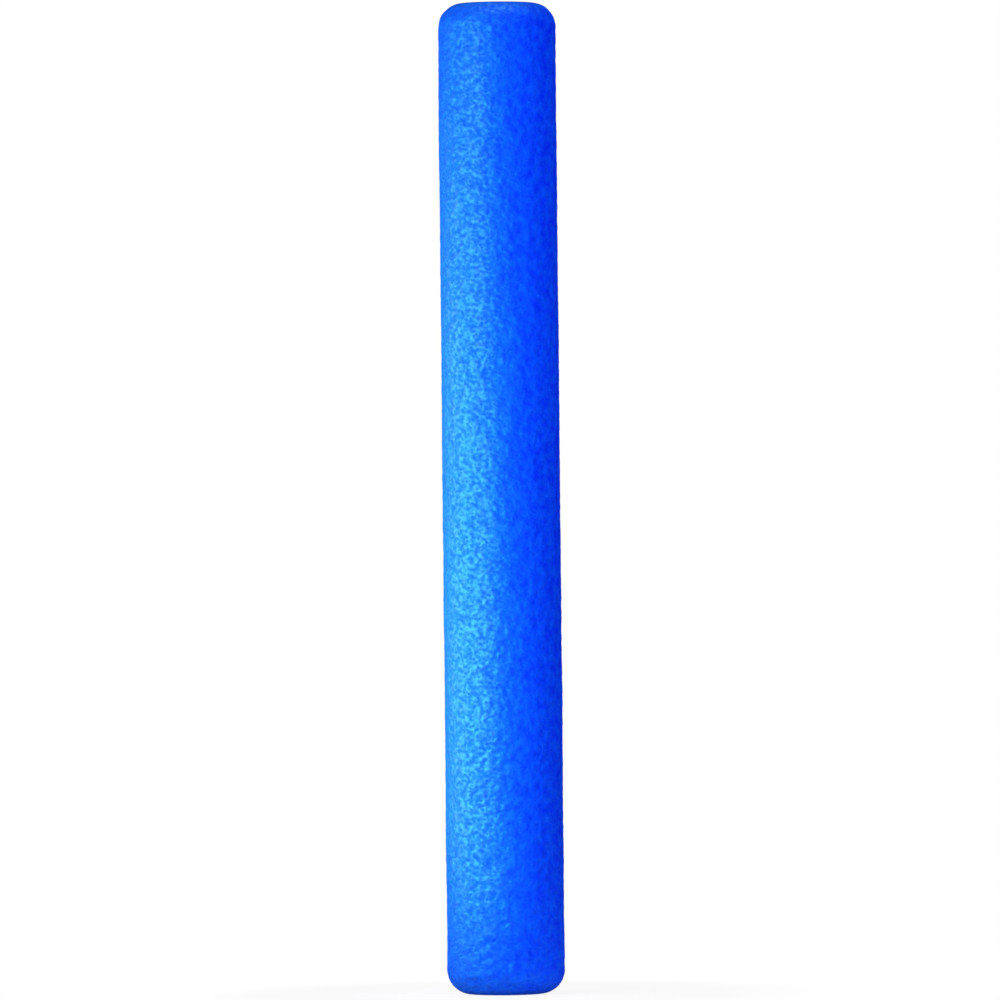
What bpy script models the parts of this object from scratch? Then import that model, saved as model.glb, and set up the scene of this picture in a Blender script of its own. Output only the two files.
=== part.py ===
"""A jumbo pool noodle: one thick tube of extruded closed-cell foam with rounded ends.

The noodle stands upright on its lower end. The origin is the middle of that end's flat face, +Z runs up
the noodle's axis, and every size is in metres.
"""

import math

import bmesh
import bpy

# The extrusion
NOODLE_LENGTH = 1.180
FOAM_DIAMETER = 0.140
BORE_DIAMETER = 0.040

# The trimmed ends
RIM_RADIUS = 0.029
MOUTH_RADIUS = 0.003
WIDEST_RIM_SHARE = 0.9

# How finely the round shapes are cut
SIDES_AROUND = 72
RIM_STEPS = 10
MOUTH_STEPS = 3

# The foam's finish
FOAM_BLUE = (0.004, 0.105, 0.900, 1.0)
FOAM_ROUGHNESS = 0.6
SMOOTH_UP_TO = math.radians(40)


def clear_scene():
    """Removes whatever the file held before."""
    for old in list(bpy.data.objects):
        bpy.data.objects.remove(old)


def foam_material():
    """Dull, dense blue polyethylene foam."""
    material = bpy.data.materials.new("blue_foam")
    material.use_nodes = True
    shader = material.node_tree.nodes["Principled BSDF"]
    shader.inputs["Base Color"].default_value = FOAM_BLUE
    shader.inputs["Roughness"].default_value = FOAM_ROUGHNESS
    shader.inputs["Metallic"].default_value = 0.0
    material.diffuse_color = FOAM_BLUE
    return material


def quarter_turn(centre, radius, from_angle, steps):
    """Points of a quarter circle in the XZ plane, turning anticlockwise from from_angle."""
    points = []
    for step in range(steps + 1):
        angle = from_angle + (math.pi / 2) * step / steps
        x = centre[0] + radius * math.cos(angle)
        z = centre[1] + radius * math.sin(angle)
        points.append((x, 0.0, z))
    return points


def wall_section():
    """The cut wall of the tube at +X, anticlockwise from the foot of the bore."""
    foam_radius = FOAM_DIAMETER / 2
    mouth_x = BORE_DIAMETER / 2 + MOUTH_RADIUS
    rim = min(RIM_RADIUS, WIDEST_RIM_SHARE * (foam_radius - mouth_x))
    rim_x = foam_radius - rim
    top = NOODLE_LENGTH
    section = []
    section += quarter_turn((mouth_x, MOUTH_RADIUS), MOUTH_RADIUS, math.pi, MOUTH_STEPS)
    section += quarter_turn((rim_x, rim), rim, -math.pi / 2, RIM_STEPS)
    section += quarter_turn((rim_x, top - rim), rim, 0.0, RIM_STEPS)
    section += quarter_turn((mouth_x, top - MOUTH_RADIUS), MOUTH_RADIUS, math.pi / 2, MOUTH_STEPS)
    return section


def foam_tube():
    """The whole noodle: the wall's section turned once round the axis."""
    form = bmesh.new()
    corners = [form.verts.new(point) for point in wall_section()]
    for first, second in zip(corners, corners[1:] + corners[:1]):
        form.edges.new((first, second))
    bmesh.ops.spin(
        form,
        geom=form.verts[:] + form.edges[:],
        cent=(0.0, 0.0, 0.0),
        axis=(0.0, 0.0, 1.0),
        angle=2 * math.pi,
        steps=SIDES_AROUND,
        use_merge=True,
    )
    bmesh.ops.recalc_face_normals(form, faces=form.faces[:])
    mesh = bpy.data.meshes.new("foam_tube")
    form.to_mesh(mesh)
    form.free()
    mesh.shade_smooth()
    mesh.set_sharp_from_angle(angle=SMOOTH_UP_TO)
    mesh.materials.append(foam_material())
    tube = bpy.data.objects.new("foam_tube", mesh)
    bpy.context.scene.collection.objects.link(tube)
    return tube


clear_scene()
foam_tube()
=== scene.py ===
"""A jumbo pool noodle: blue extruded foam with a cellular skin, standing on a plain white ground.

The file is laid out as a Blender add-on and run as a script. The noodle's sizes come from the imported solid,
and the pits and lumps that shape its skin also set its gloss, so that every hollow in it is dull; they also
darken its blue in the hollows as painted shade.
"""

import math

import bmesh
import bpy
from bpy.props import FloatProperty, FloatVectorProperty, IntProperty, PointerProperty
from mathutils import Matrix, Vector


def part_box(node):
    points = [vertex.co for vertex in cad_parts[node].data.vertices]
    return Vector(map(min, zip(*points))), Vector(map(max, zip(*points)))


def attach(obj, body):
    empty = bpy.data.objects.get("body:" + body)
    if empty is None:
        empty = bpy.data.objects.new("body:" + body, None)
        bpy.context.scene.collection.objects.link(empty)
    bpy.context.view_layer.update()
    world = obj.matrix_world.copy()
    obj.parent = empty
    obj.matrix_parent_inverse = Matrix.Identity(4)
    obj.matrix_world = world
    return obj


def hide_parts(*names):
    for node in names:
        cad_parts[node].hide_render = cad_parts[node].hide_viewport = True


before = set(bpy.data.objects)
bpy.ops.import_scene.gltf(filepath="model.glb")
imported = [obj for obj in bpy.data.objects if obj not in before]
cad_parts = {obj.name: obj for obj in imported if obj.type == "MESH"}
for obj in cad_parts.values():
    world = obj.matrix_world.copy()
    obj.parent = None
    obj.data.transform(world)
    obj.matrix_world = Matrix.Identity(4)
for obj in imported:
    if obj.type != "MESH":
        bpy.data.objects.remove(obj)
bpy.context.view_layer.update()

bl_info = {
    "name": "Pool noodle",
    "version": (1, 0, 0),
    "blender": (4, 5, 0),
    "location": "View3D > Sidebar > Noodle",
    "description": "Models a jumbo foam pool noodle and the white studio that it stands in",
    "category": "Object",
}

NODE = "foam_tube"
MILLIMETRE = 0.001
HAIR = 0.02 * MILLIMETRE  # near enough to count as on a surface
FULL_TURN = 2 * math.pi
INNER_GLOSS = 0.6  # of the cut ends and the bore, as a share of the skin's

SKIN, CUT, BORE = range(3)


def solid_sizes():
    """The noodle's length, outer and bore radius, and its mouth and rim rounding, read off the solid."""
    low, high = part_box(NODE)
    points = [vert.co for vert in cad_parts[NODE].data.vertices]
    radii = [math.hypot(point.x, point.y) for point in points]
    end_radii = [radius for radius, point in zip(radii, points) if point.z > high.z - HAIR]
    outer, bore = max(radii), min(radii)
    return high.z - low.z, outer, bore, min(end_radii) - bore, outer - max(end_radii)


LENGTH, OUTER_RADIUS, BORE_RADIUS, MOUTH_RADIUS, RIM_RADIUS = solid_sizes()


class NoodleSizes(bpy.types.PropertyGroup):
    """The foam tube's form, and how finely its mesh is cut."""

    length: FloatProperty(
        name="Length", description="From end to end", default=LENGTH, min=0.2, unit="LENGTH")
    outer_radius: FloatProperty(
        name="Outer radius", description="Of the foam's skin", default=OUTER_RADIUS, min=0.02, unit="LENGTH")
    bore_radius: FloatProperty(
        name="Bore radius", description="Of the hole along the axis", default=BORE_RADIUS, min=0.003,
        unit="LENGTH")
    rim_radius: FloatProperty(
        name="Rim rounding", description="Of each end's outer edge", default=RIM_RADIUS, min=0.001,
        unit="LENGTH")
    mouth_radius: FloatProperty(
        name="Mouth rounding", description="Of the bore's edge at each end", default=MOUTH_RADIUS,
        min=0.0005, unit="LENGTH")
    sides: IntProperty(name="Sides", description="Faces around the tube", default=192, min=24)
    wall_rows: IntProperty(name="Wall rows", description="Rows along the straight wall", default=384, min=8)
    rim_rows: IntProperty(name="Rim rows", description="Rows over each rounded rim", default=18, min=2)
    face_rows: IntProperty(name="Face rows", description="Rings across each flat end", default=9, min=1)
    mouth_rows: IntProperty(name="Mouth rows", description="Rings round each mouth", default=3, min=1)
    bore_rows: IntProperty(name="Bore rows", description="Rows along the bore", default=36, min=1)


class FoamFinish(bpy.types.PropertyGroup):
    """The foam's cells, relief, colours and gloss."""

    cell_width: FloatProperty(
        name="Cell width", description="Across the axis, from one pit to the next", default=0.0066,
        min=0.001, unit="LENGTH")
    cell_stretch: FloatProperty(
        name="Cell stretch", description="A cell's height along the axis, in cell widths", default=0.85,
        min=0.2)
    cell_depth: FloatProperty(
        name="Cell depth", description="How far the deepest pits sink in", default=0.00045, min=0.0,
        unit="LENGTH")
    cut_cell_width: FloatProperty(
        name="Cut cell width", description="Of the open cells where the foam is cut", default=0.0016,
        min=0.0005, unit="LENGTH")
    cut_cell_depth: FloatProperty(
        name="Cut cell depth", description="How far the open cells sink in", default=0.00050, min=0.0,
        unit="LENGTH")
    lump_width: FloatProperty(
        name="Lump width", description="Of the small lumps of the skin", default=0.0091, min=0.001,
        unit="LENGTH")
    lump_depth: FloatProperty(
        name="Lump depth", description="How far the lumps rise and fall", default=0.00035, min=0.0,
        unit="LENGTH")
    grain_width: FloatProperty(
        name="Grain width", description="Of the finest mottle", default=0.0053, min=0.001, unit="LENGTH")
    blot_width: FloatProperty(
        name="Blot width", description="Of the soft blots in the dye", default=0.0125, min=0.001,
        unit="LENGTH")
    wave_width: FloatProperty(
        name="Wave width", description="Of the slow waves along the noodle", default=0.0625, min=0.01,
        unit="LENGTH")
    wave_depth: FloatProperty(
        name="Wave depth", description="How far the waves rise and fall", default=0.00050, min=0.0,
        unit="LENGTH")
    # The pit blue is both the dye's deepest tone and painted shade in the pits and grooves of the skin and
    # the bore
    deep_dye_and_pit_shade_blue: FloatVectorProperty(
        name="Pit blue", description="The deepest blue of the skin", subtype="COLOR", size=4,
        default=(0.0002, 0.008, 0.85, 1.0), min=0.0, max=1.0)
    skin_blue: FloatVectorProperty(
        name="Skin blue", description="The palest blue of the skin", subtype="COLOR", size=4,
        default=(0.0008, 0.050, 0.91, 1.0), min=0.0, max=1.0)
    cut_blue: FloatVectorProperty(
        name="Cut blue", description="The cell walls where the foam is cut open", subtype="COLOR", size=4,
        default=(0.004, 0.12, 0.95, 1.0), min=0.0, max=1.0)
    gloss_tint: FloatVectorProperty(
        name="Gloss tint", description="The colour of the skin's soft gloss", subtype="COLOR", size=4,
        default=(0.04, 1.0, 1.0, 1.0), min=0.0, max=1.0)
    ior: FloatProperty(name="Index", description="Index of refraction of the skin", default=1.8, min=1.0)
    gloss: FloatProperty(
        name="Gloss", description="Strength of the skin's gloss", default=1.0, min=0.0, max=1.0)
    rough_skin: FloatProperty(
        name="Skin roughness", description="On the lumps between the pits", default=0.55, min=0.0, max=1.0)
    rough_pit: FloatProperty(
        name="Pit roughness", description="In the pits", default=0.84, min=0.0, max=1.0)
    film: FloatProperty(
        name="Film", description="Weight of the clear film on the lumps between the pits", default=0.25,
        min=0.0, max=1.0)
    rough_film: FloatProperty(
        name="Film roughness", description="Of the clear film", default=0.45, min=0.0, max=1.0)


class StudioSettings(bpy.types.PropertyGroup):
    """The camera and the lights."""

    camera_distance: FloatProperty(
        name="Camera distance", description="From the noodle's axis", default=12.0, min=1.0, unit="LENGTH")
    lean: FloatProperty(
        name="Lean", description="How far the noodle leans to the left in the picture",
        default=math.radians(0.57), subtype="ANGLE")
    key_power: FloatProperty(
        name="Key power", description="Of the tall softbox left of the camera, in watts", default=76.0)
    accent_power: FloatProperty(
        name="Accent power", description="Of the small softbox low on the left, in watts", default=4.0)
    side_power: FloatProperty(
        name="Side power", description="Of the low strip light square to the left, in watts", default=11.0)
    fill_power: FloatProperty(
        name="Fill power", description="Of the softbox right of the camera, in watts", default=102.0)
    back_power: FloatProperty(
        name="Back power", description="Of the softbox behind the noodle, in watts", default=50.0)
    top_power: FloatProperty(
        name="Top power", description="Of the softbox over the upper end, in watts", default=11.0)
    ambient: FloatProperty(name="Ambient", description="Strength of the even light all round", default=0.03)


def add_mesh(scene, name, form):
    """A new object in the scene made of a bmesh form, which is freed."""
    mesh = bpy.data.meshes.new(name)
    form.to_mesh(mesh)
    form.free()
    item = bpy.data.objects.new(name, mesh)
    scene.collection.objects.link(item)
    return item


def revolve(form, angle, steps, closed=False):
    """Turns all of a form round the upright axis, with faces left behind it."""
    bmesh.ops.spin(
        form,
        geom=form.verts[:] + form.edges[:],
        cent=(0.0, 0.0, 0.0),
        axis=(0.0, 0.0, 1.0),
        angle=angle,
        steps=steps,
        use_merge=closed,
    )


def link(tree, source, target):
    """Joins one socket to another."""
    tree.links.new(source, target)


def value_node(tree, operation, *inputs):
    """A Math node fed by sockets and numbers."""
    node = tree.nodes.new("ShaderNodeMath")
    node.operation = operation
    for slot, item in zip(node.inputs, inputs):
        if isinstance(item, (int, float)):
            slot.default_value = item
        else:
            link(tree, item, slot)
    return node.outputs[0]


def vector_node(tree, operation, source):
    """A Vector Math node with a socket as its first vector."""
    node = tree.nodes.new("ShaderNodeVectorMath")
    node.operation = operation
    link(tree, source, node.inputs[0])
    return node


def part_of(tree, source, index):
    """The X, Y or Z of a vector, or the red, green or blue of a colour."""
    node = tree.nodes.new("ShaderNodeSeparateXYZ")
    link(tree, source, node.inputs[0])
    return node.outputs[index]


def eased(tree, source, low, high, out_low=0.0, out_high=1.0):
    """A socket's value carried smoothly from one span to another."""
    node = tree.nodes.new("ShaderNodeMapRange")
    node.interpolation_type = "SMOOTHSTEP"
    link(tree, source, node.inputs["Value"])
    ends = {"From Min": low, "From Max": high, "To Min": out_low, "To Max": out_high}
    for name, value in ends.items():
        node.inputs[name].default_value = value
    return node.outputs["Result"]


def summed(tree, *terms):
    """The sum of some sockets, each times its weight."""
    total = 0.0
    for source, weight in terms:
        total = value_node(tree, "MULTIPLY_ADD", source, weight, total)
    return total


def texture(tree, kind, place, width, stretch):
    """A texture node whose features have a given width and are drawn out along Z."""
    drawn_out = vector_node(tree, "MULTIPLY", place)
    drawn_out.inputs[1].default_value = (1.0, 1.0, 1.0 / stretch)
    node = tree.nodes.new(kind)
    link(tree, drawn_out.outputs[0], node.inputs["Vector"])
    node.inputs["Scale"].default_value = 1.0 / width
    return node


def blots(tree, place, width, stretch):
    """Soft blots of a given width, about -1 to 1, drawn out along Z."""
    contrast = 4.0
    node = texture(tree, "ShaderNodeTexNoise", place, width, stretch)
    node.inputs["Detail"].default_value = 1.0
    return value_node(tree, "MULTIPLY_ADD", node.outputs[0], contrast, -contrast / 2)


def cells(tree, place, width, stretch=1.0):
    """A field of foam cells and its distances from their middles, in cell widths."""
    field = texture(tree, "ShaderNodeTexVoronoi", place, width, stretch)
    return field, field.outputs["Distance"]


def cell_depths(tree, field, least):
    """A depth of its own for each cell of a field, up to 1."""
    return eased(tree, part_of(tree, field.outputs["Color"], 0), 0.0, 1.0, least, 1.0)


def pits(tree, place, finish):
    """The skin's pits of uneven depth, each with a slightly raised rim: -1 in the deepest."""
    pit_edge, pit_floor = 0.40, 0.08
    rim_edge, rim_top = 0.75, 0.42
    rim_height = 0.35
    field, distance = cells(tree, place, finish.cell_width, finish.cell_stretch)
    pit = eased(tree, distance, pit_edge, pit_floor)
    rim = eased(tree, distance, rim_edge, rim_top)
    form = summed(tree, (pit, -1.0 - rim_height), (rim, rim_height))
    return value_node(tree, "MULTIPLY", form, cell_depths(tree, field, least=0.0))


def lumps(tree, place, finish):
    """The small lumps of the skin, about -1 to 1."""
    return blots(tree, place, finish.lump_width, stretch=0.87)


def grain(tree, place, finish):
    """The finest mottle of the skin, about -1 to 1."""
    return blots(tree, place, finish.grain_width, stretch=0.80)


def clouds(tree, place, finish):
    """The soft blots in the dye, about -1 to 1."""
    return blots(tree, place, finish.blot_width, stretch=0.9)


def waves(tree, place, finish):
    """Slow unevenness of the extrusion, about -1 to 1."""
    return blots(tree, place, finish.wave_width, stretch=2.2)


def section(sizes):
    """The wall's section at +X: a closed wire with its corners rounded and its runs cut into rows."""
    form = bmesh.new()
    corners = {}
    for name, x, z in (
        ("low_bore", sizes.bore_radius, 0.0),
        ("low_rim", sizes.outer_radius, 0.0),
        ("high_rim", sizes.outer_radius, sizes.length),
        ("high_bore", sizes.bore_radius, sizes.length),
    ):
        corners[name] = form.verts.new((x, 0.0, z))
    form.faces.new(corners.values())
    for names, radius, rows in (
        (("low_bore", "high_bore"), sizes.mouth_radius, sizes.mouth_rows),
        (("low_rim", "high_rim"), sizes.rim_radius, sizes.rim_rows),
    ):
        bmesh.ops.bevel(
            form,
            geom=[corners[name] for name in names],
            offset=radius,
            offset_type="OFFSET",
            segments=rows,
            profile=0.5,
            affect="VERTICES",
            material=-1,
        )
    bmesh.ops.delete(form, geom=form.faces[:], context="FACES_ONLY")
    form.edges.ensure_lookup_table()
    shortest_run = sizes.rim_radius / 3
    runs = [edge for edge in form.edges if edge.calc_length() > shortest_run]
    for edge in runs:
        middle = (edge.verts[0].co + edge.verts[1].co) / 2
        if middle.z < HAIR or middle.z > sizes.length - HAIR:
            rows = sizes.face_rows
        elif middle.x > sizes.outer_radius - HAIR:
            rows = sizes.wall_rows
        else:
            rows = sizes.bore_rows
        bmesh.ops.subdivide_edges(form, edges=[edge], cuts=rows - 1)
    return form


def tube(sizes):
    """The section turned once round the axis, closed and facing outwards."""
    form = section(sizes)
    revolve(form, FULL_TURN, sizes.sides, closed=True)
    bmesh.ops.recalc_face_normals(form, faces=form.faces[:])
    # The merge leaves the faces in an order of its own each run, so they are put in one order
    form.verts.index_update()
    count = len(form.verts)
    form.faces.sort(key=lambda face: face.verts[0].index * count + face.verts[2].index)
    return form


def zone(face, sizes):
    """Which finish a face of the smooth tube takes."""
    middle = face.calc_center_median()
    radius = math.hypot(middle.x, middle.y)
    if radius < sizes.bore_radius + HAIR:
        return BORE
    if radius < sizes.outer_radius - sizes.rim_radius:
        return CUT
    return SKIN


def lay_out_maps(form, sizes):
    """Gives a form the map that its colours are baked through.

    The skin lies in two panels, the bore in a column beside them, and each cut end in a ring below the bore.
    """
    gap = 0.006
    panel = 0.44
    ring_high = 0.12
    column_left = 2 * panel + 3 * gap
    column = 1.0 - column_left - gap
    bore_low = 2 * (ring_high + gap) + gap
    flat_radius = sizes.outer_radius - sizes.rim_radius
    wall_top = sizes.length - sizes.rim_radius
    rim_arc = sizes.rim_radius * math.pi / 2
    skin_run = sizes.length - 2 * sizes.rim_radius + 2 * rim_arc
    layer = form.loops.layers.uv.new("OFBake")

    def skin_run_at(radius, z):
        """How far along the skin a point lies, from the foot of the lower rim."""
        if z < sizes.rim_radius:
            return sizes.rim_radius * math.atan2(radius - flat_radius, sizes.rim_radius - z)
        if z > wall_top:
            return skin_run - rim_arc + sizes.rim_radius * math.atan2(z - wall_top, radius - flat_radius)
        return rim_arc + z - sizes.rim_radius

    for face in form.faces:
        middle = face.calc_center_median()
        bearing = math.atan2(middle.y, middle.x)
        upper = middle.z > sizes.length / 2
        for loop in face.loops:
            point = loop.vert.co
            radius = math.hypot(point.x, point.y)
            around = math.atan2(point.y, point.x)
            around += FULL_TURN * round((bearing - around) / FULL_TURN)
            share = around / FULL_TURN + 0.5
            if face.material_index == SKIN:
                run = skin_run_at(radius, point.z) / skin_run
                u = gap + share * panel + (panel + gap) * upper
                v = gap + (2 * run - upper) * (1 - 2 * gap)
            elif face.material_index == BORE:
                u = column_left + share * column
                v = bore_low + (1 - gap - bore_low) * point.z / sizes.length
            else:
                reach = 0.5 * radius / flat_radius
                u = column_left + column * (0.5 + reach * math.cos(around))
                v = gap + (ring_high + gap) * upper + ring_high * (0.5 + reach * math.sin(around))
            loop[layer].uv = (u, v)


def add_relief(noodle, finish):
    """Moves the noodle's skin by its lumps and waves, which die away over the rims, and keeps the result."""
    tree = bpy.data.node_groups.new("foam relief", "GeometryNodeTree")
    for way in ("INPUT", "OUTPUT"):
        tree.interface.new_socket("Geometry", in_out=way, socket_type="NodeSocketGeometry")
    start = tree.nodes.new("NodeGroupInput")
    end = tree.nodes.new("NodeGroupOutput")
    place = tree.nodes.new("GeometryNodeInputPosition").outputs[0]
    facing = tree.nodes.new("GeometryNodeInputNormal").outputs[0]
    height = summed(
        tree,
        (lumps(tree, place, finish), finish.lump_depth),
        (waves(tree, place, finish), finish.wave_depth),
    )
    endwise = value_node(tree, "ABSOLUTE", part_of(tree, facing, 2))
    no_relief, full_relief = 0.98, 0.80
    height = value_node(tree, "MULTIPLY", height, eased(tree, endwise, no_relief, full_relief))
    move = vector_node(tree, "SCALE", facing)
    link(tree, height, move.inputs["Scale"])
    shift = tree.nodes.new("GeometryNodeSetPosition")
    link(tree, start.outputs[0], shift.inputs["Geometry"])
    link(tree, move.outputs[0], shift.inputs["Offset"])
    link(tree, shift.outputs[0], end.inputs[0])
    relief = noodle.modifiers.new("foam relief", "NODES")
    relief.node_group = tree
    bpy.context.view_layer.objects.active = noodle
    bpy.ops.object.modifier_apply(modifier=relief.name)
    bpy.data.node_groups.remove(tree)


def new_finish(name):
    """A material, its tree, its Principled shader and the Object coordinates."""
    material = bpy.data.materials.new(name)
    material.use_nodes = True
    tree = material.node_tree
    place = tree.nodes.new("ShaderNodeTexCoord").outputs["Object"]
    return material, tree, tree.nodes["Principled BSDF"], place


def set_colour(tree, shader, shade, low, high, low_colour, high_colour):
    """Carries a shader's colour from one to another as its shade rises from low to high."""
    node = tree.nodes.new("ShaderNodeMix")
    node.data_type = "RGBA"
    link(tree, eased(tree, shade, low, high), node.inputs["Factor"])
    # The colour sockets share their names with those of the other types, so they go by number
    node.inputs[6].default_value = low_colour
    node.inputs[7].default_value = high_colour
    link(tree, node.outputs[2], shader.inputs["Base Color"])


def set_bump(tree, shader, height, depth):
    """Bumps a shader by a height of about -1 to 1, times a depth."""
    node = tree.nodes.new("ShaderNodeBump")
    node.inputs["Distance"].default_value = depth
    link(tree, height, node.inputs["Height"])
    link(tree, node.outputs[0], shader.inputs["Normal"])


def set_gloss(shader, finish, level):
    """Gives a shader the foam's soft green-blue gloss, at a strength of its own."""
    shader.inputs["IOR"].default_value = finish.ior
    shader.inputs["Specular IOR Level"].default_value = level
    shader.inputs["Specular Tint"].default_value = finish.gloss_tint


def skin_finish(finish):
    """The extruded skin: blotched deep blue with painted shade in its dull pits, and a soft gloss between
    them.
    """
    material, tree, shader, place = new_finish("foam_skin")
    dents = pits(tree, place, finish)
    rises = lumps(tree, place, finish)
    specks = grain(tree, place, finish)
    level = summed(tree, (dents, 1.1), (rises, 0.35), (specks, 1.1))
    # The blue follows the dye's blots and mottle, and darkens in the pits and hollows as painted shade, most
    # in the deepest pits
    shade = summed(tree, (level, 0.3), (clouds(tree, place, finish), 0.75))
    set_colour(tree, shader, shade, -1.0, 1.0, finish.deep_dye_and_pit_shade_blue, finish.skin_blue)
    span = (-0.8, 1.3)
    rough = eased(tree, level, *span, finish.rough_pit, finish.rough_skin)
    link(tree, rough, shader.inputs["Roughness"])
    link(tree, eased(tree, level, *span, 0.0, finish.film), shader.inputs["Coat Weight"])
    shader.inputs["Coat Roughness"].default_value = finish.rough_film
    set_bump(tree, shader, summed(tree, (dents, 0.6), (rises, 1.0), (specks, 0.3)), finish.cell_depth)
    set_gloss(shader, finish, finish.gloss)
    material.diffuse_color = finish.skin_blue
    return material


def cut_finish(finish):
    """Foam that was cut across: small open cells of uneven depth, darkened as painted shade, between paler
    walls.
    """
    material, tree, shader, place = new_finish("cut_foam")
    wall, floor = 0.70, 0.25
    field, distance = cells(tree, place, finish.cut_cell_width)
    depths = cell_depths(tree, field, least=0.3)
    open_cell = value_node(tree, "MULTIPLY", eased(tree, distance, wall, floor), depths)
    # The open cells take the darker skin blue and the cut walls the paler blue, deeper cells darker still:
    # painted shade in the cells
    shade = summed(tree, (open_cell, 0.9), (grain(tree, place, finish), 0.35))
    set_colour(tree, shader, shade, -0.4, 1.0, finish.cut_blue, finish.skin_blue)
    shader.inputs["Roughness"].default_value = finish.rough_pit
    set_bump(tree, shader, value_node(tree, "MULTIPLY", open_cell, -1.0), finish.cut_cell_depth)
    set_gloss(shader, finish, finish.gloss * INNER_GLOSS)
    material.diffuse_color = finish.cut_blue
    return material


def bore_finish(finish):
    """The bore's skin, drawn into fine lines along the axis by the mandrel, with painted shade in its pits
    and grooves.
    """
    material, tree, shader, place = new_finish("bore_skin")
    line_width = finish.cell_width * 0.6
    rough_groove, rough_ridge = 0.7, 0.5
    dents = pits(tree, place, finish)
    lines = blots(tree, place, line_width, stretch=50.0)
    # The blue follows the dye's blots, and darkens in the pits and grooves as painted shade
    shade = summed(tree, (dents, 0.6), (lines, 0.4), (clouds(tree, place, finish), 0.6))
    set_colour(tree, shader, shade, -1.2, 0.8, finish.deep_dye_and_pit_shade_blue, finish.skin_blue)
    link(tree, eased(tree, lines, -0.8, 0.8, rough_groove, rough_ridge), shader.inputs["Roughness"])
    set_bump(tree, shader, summed(tree, (dents, 0.6), (lines, 0.4)), finish.cell_depth)
    set_gloss(shader, finish, finish.gloss * INNER_GLOSS)
    material.diffuse_color = finish.deep_dye_and_pit_shade_blue
    return material


class NOODLE_OT_foam_tube(bpy.types.Operator):
    """Models the foam tube with its cellular skin, cut ends and bore"""

    bl_idname = "noodle.foam_tube"
    bl_label = "Foam tube"
    bl_options = {"REGISTER", "UNDO"}

    def execute(self, context):
        sizes = context.scene.noodle_sizes
        finish = context.scene.noodle_finish
        form = tube(sizes)
        for face in form.faces:
            face.material_index = zone(face, sizes)
            face.smooth = True
        lay_out_maps(form, sizes)
        noodle = add_mesh(context.scene, "foam_noodle", form)
        for material in (skin_finish(finish), cut_finish(finish), bore_finish(finish)):
            noodle.data.materials.append(material)
        add_relief(noodle, finish)
        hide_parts(NODE)
        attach(noodle, "root")
        return {"FINISHED"}


def add_camera(scene, studio):
    """A long lens level with the noodle, turned a little so that the noodle leans as in the picture.

    The noodle's height and its middle in the picture are in pixels, the middle from the upper left corner.
    """
    picture = 1000
    noodle_tall = 990.6
    noodle_at = Vector((501.4, 498.4))
    pixel = LENGTH / noodle_tall
    sensor = 36.0
    camera = bpy.data.cameras.new("camera")
    camera.sensor_width = sensor
    camera.lens = sensor * studio.camera_distance / (pixel * picture)
    camera.clip_end = 400.0
    holder = bpy.data.objects.new("camera", camera)
    scene.collection.objects.link(holder)
    turn = Matrix.Rotation(math.pi / 2, 4, "X") @ Matrix.Rotation(-studio.lean, 4, "Z")
    off = Vector((noodle_at.x - picture / 2, picture / 2 - noodle_at.y, 0.0)) * pixel
    aim = Vector((0.0, 0.0, LENGTH / 2)) - turn.to_3x3() @ off
    holder.matrix_world = Matrix.Translation(aim - Vector((0.0, studio.camera_distance, 0.0))) @ turn
    scene.camera = holder


def round_axis(bearing, distance, height):
    """A point at a bearing round the axis, in degrees from the camera's side and negative to the left."""
    angle = math.radians(bearing)
    return Vector((math.sin(angle) * distance, -math.cos(angle) * distance, height))


def add_softbox(scene, name, power, bearing, width, distance, height, tall, aim=None, glossy=True):
    """An area light that faces the axis, level with itself or at the height that it is aimed at.

    One that isn't glossy lights the noodle but shows in no reflection.
    """
    light = bpy.data.lights.new(name, "AREA")
    light.shape = "RECTANGLE"
    light.size = width
    light.size_y = tall
    light.energy = power
    light.cycles.use_multiple_importance_sampling = glossy
    holder = bpy.data.objects.new(name, light)
    scene.collection.objects.link(holder)
    place = round_axis(bearing, distance, height)
    facing = Vector((0.0, 0.0, height if aim is None else aim)) - place
    holder.matrix_world = Matrix.Translation(place) @ facing.to_track_quat("-Z", "Z").to_matrix().to_4x4()
    holder.visible_camera = False
    holder.visible_glossy = glossy


def seen(tree):
    """1 for what is seen, straight or through gloss and glass, and 0 for what only throws light."""
    path = tree.nodes.new("ShaderNodeLightPath")
    total = path.outputs["Is Camera Ray"]
    for name in ("Is Glossy Ray", "Is Transmission Ray"):
        total = value_node(tree, "MAXIMUM", total, path.outputs[name])
    return total


def add_floor(scene):
    """A floor seen as white that keeps the noodle's shadow.

    It is pale round the noodle's foot, to light it from below, and grey beyond, to throw little light back.
    """
    foot, pale_edge, shadow_edge = 0.12, 0.30, 0.42
    pale, grey = 0.80, 0.30
    whiteness_at_foot = 0.88
    form = bmesh.new()
    bmesh.ops.create_circle(form, cap_ends=True, radius=150.0, segments=96)
    floor = add_mesh(scene, "floor", form)
    material, tree, shader, place = new_finish("white_floor")
    shader.inputs["Roughness"].default_value = 0.9
    shader.inputs["Specular IOR Level"].default_value = 0.0
    reach = vector_node(tree, "LENGTH", place).outputs["Value"]
    link(tree, eased(tree, reach, foot, pale_edge, pale, grey), shader.inputs["Base Color"])
    whiteness = eased(tree, reach, foot, shadow_edge, whiteness_at_foot, 1.0)
    white = tree.nodes.new("ShaderNodeEmission")
    mix = tree.nodes.new("ShaderNodeMixShader")
    link(tree, value_node(tree, "MULTIPLY", whiteness, seen(tree)), mix.inputs[0])
    link(tree, shader.outputs[0], mix.inputs[1])
    link(tree, white.outputs[0], mix.inputs[2])
    link(tree, mix.outputs[0], tree.nodes["Material Output"].inputs["Surface"])
    floor.data.materials.append(material)


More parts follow.
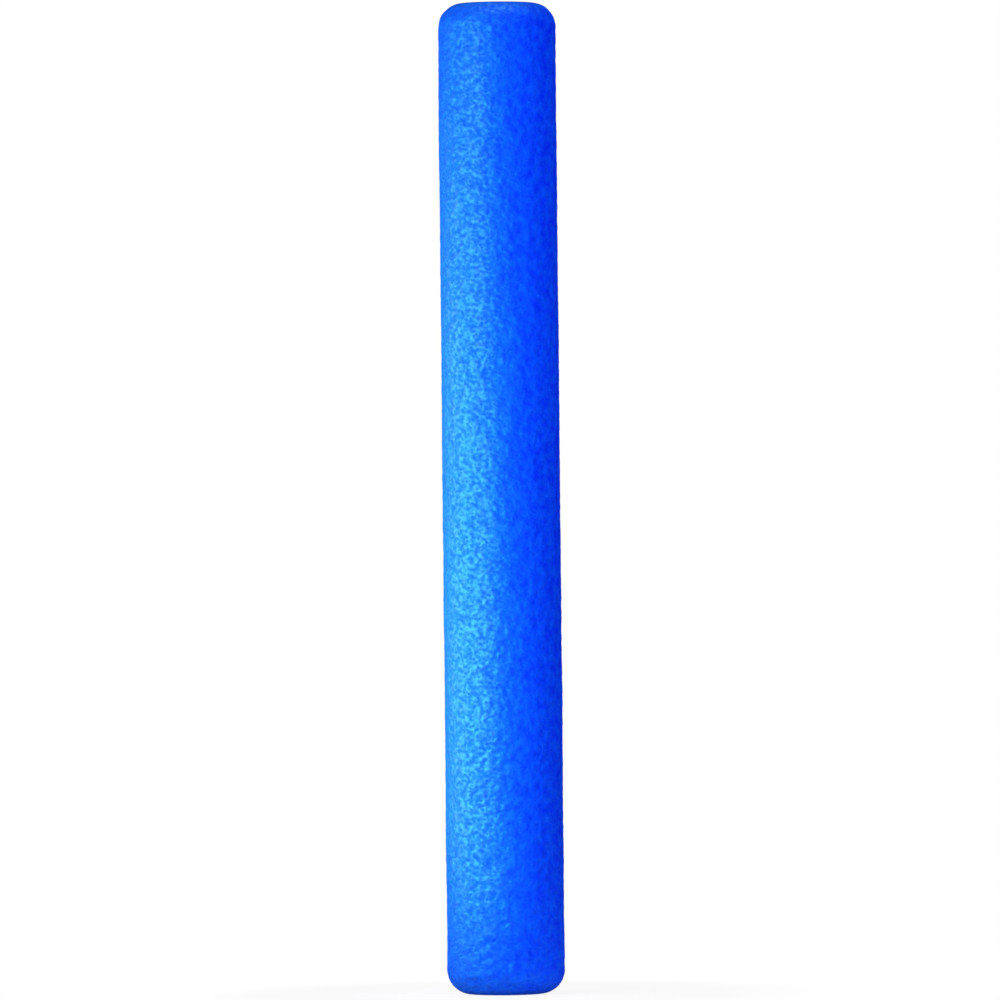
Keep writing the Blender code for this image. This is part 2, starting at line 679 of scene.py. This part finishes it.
def add_black_cloth(scene, name, form):
    """A form in black cloth, unseen by the camera, that only shapes the light."""
    cloth = add_mesh(scene, name, form)
    material, _, shader, _ = new_finish(name)
    shader.inputs["Base Color"].default_value = (0.0, 0.0, 0.0, 1.0)
    shader.inputs["Specular IOR Level"].default_value = 0.0
    cloth.data.materials.append(material)
    cloth.visible_camera = False
    return cloth


def add_black_tent(scene, radius, height):
    """A drum outside the lights, which glossy rays alone meet, so that only the softboxes shine."""
    form = bmesh.new()
    bmesh.ops.create_cone(form, cap_ends=True, segments=64, radius1=radius, radius2=radius, depth=height)
    bmesh.ops.translate(form, verts=form.verts[:], vec=(0.0, 0.0, height / 2 + MILLIMETRE))
    tent = add_black_cloth(scene, "black_tent", form)
    tent.visible_diffuse = False
    tent.visible_transmission = False
    tent.visible_shadow = False


def add_black_strip(scene, radius, height, start, turn):
    """A low strip curved round the noodle's left side, which keeps some of the light off its foot."""
    form = bmesh.new()
    ends = [form.verts.new(round_axis(start, radius, z)) for z in (MILLIMETRE, height)]
    form.edges.new(ends)
    revolve(form, math.radians(turn), steps=24)
    add_black_cloth(scene, "black_strip", form)


def add_world(scene, studio):
    """Even light all round, seen by the camera as plain white."""
    world = bpy.data.worlds.new("white_ground")
    world.use_nodes = True
    tree = world.node_tree
    back = tree.nodes["Background"]
    back.inputs["Color"].default_value = (1.0, 1.0, 1.0, 1.0)
    strength = value_node(tree, "MULTIPLY_ADD", seen(tree), 1.0 - studio.ambient, studio.ambient)
    link(tree, strength, back.inputs["Strength"])
    scene.world = world


class NOODLE_OT_studio(bpy.types.Operator):
    """Sets up the white floor, the soft lights and the camera"""

    bl_idname = "noodle.studio"
    bl_label = "White studio"
    bl_options = {"REGISTER", "UNDO"}

    def execute(self, context):
        scene = context.scene
        studio = scene.noodle_studio
        add_camera(scene, studio)
        add_floor(scene)
        add_black_tent(scene, radius=4.0, height=3.0)
        add_black_strip(scene, radius=0.35, height=0.125, start=-150, turn=135)
        add_world(scene, studio)
        far = {"distance": 3.0, "height": 1.0, "tall": 2.4}
        matt = {**far, "glossy": False}
        low = {"distance": 0.75, "height": 0.36, "tall": 0.55}
        over = {"distance": 0.1, "height": 2.6, "tall": 0.9, "aim": 1.2}
        # Each lamp's name, power, bearing in degrees, width, and the rest of its place
        for name, power, bearing, width, place in (
            ("key", studio.key_power, -45, 1.2, far),
            ("accent", studio.accent_power, -45, 0.7, low),
            ("side", studio.side_power, -90, 1.2, low),
            ("top", studio.top_power, 0, 0.9, over),
            ("fill", studio.fill_power, 45, 2.4, matt),
            ("back", studio.back_power, 180, 2.4, matt),
        ):
            add_softbox(scene, name, power, bearing, width, **place)
        scene.view_settings.view_transform = "Standard"
        return {"FINISHED"}


class NOODLE_PT_noodle(bpy.types.Panel):
    """Lists the noodle's sizes, finish and studio"""

    bl_idname = "NOODLE_PT_noodle"
    bl_label = "Pool noodle"
    bl_space_type = "VIEW_3D"
    bl_region_type = "UI"
    bl_category = "Noodle"

    def draw(self, context):
        for title, group, operator in (
            ("Foam tube", context.scene.noodle_sizes, "noodle.foam_tube"),
            ("Finish", context.scene.noodle_finish, None),
            ("Studio", context.scene.noodle_studio, "noodle.studio"),
        ):
            box = self.layout.box()
            box.label(text=title)
            for name in group.__annotations__:
                box.prop(group, name)
            if operator:
                box.operator(operator)


GROUPS = {"noodle_sizes": NoodleSizes, "noodle_finish": FoamFinish, "noodle_studio": StudioSettings}
CLASSES = (*GROUPS.values(), NOODLE_OT_foam_tube, NOODLE_OT_studio, NOODLE_PT_noodle)


def register():
    """Makes the classes and the scene's settings known to Blender."""
    for item in CLASSES:
        bpy.utils.register_class(item)
    for name, group in GROUPS.items():
        setattr(bpy.types.Scene, name, PointerProperty(type=group))


def unregister():
    """Takes the settings and the classes out again."""
    for name in GROUPS:
        delattr(bpy.types.Scene, name)
    for item in reversed(CLASSES):
        bpy.utils.unregister_class(item)


def main():
    register()
    bpy.ops.noodle.foam_tube()
    bpy.ops.noodle.studio()


if __name__ == "__main__":
    main()
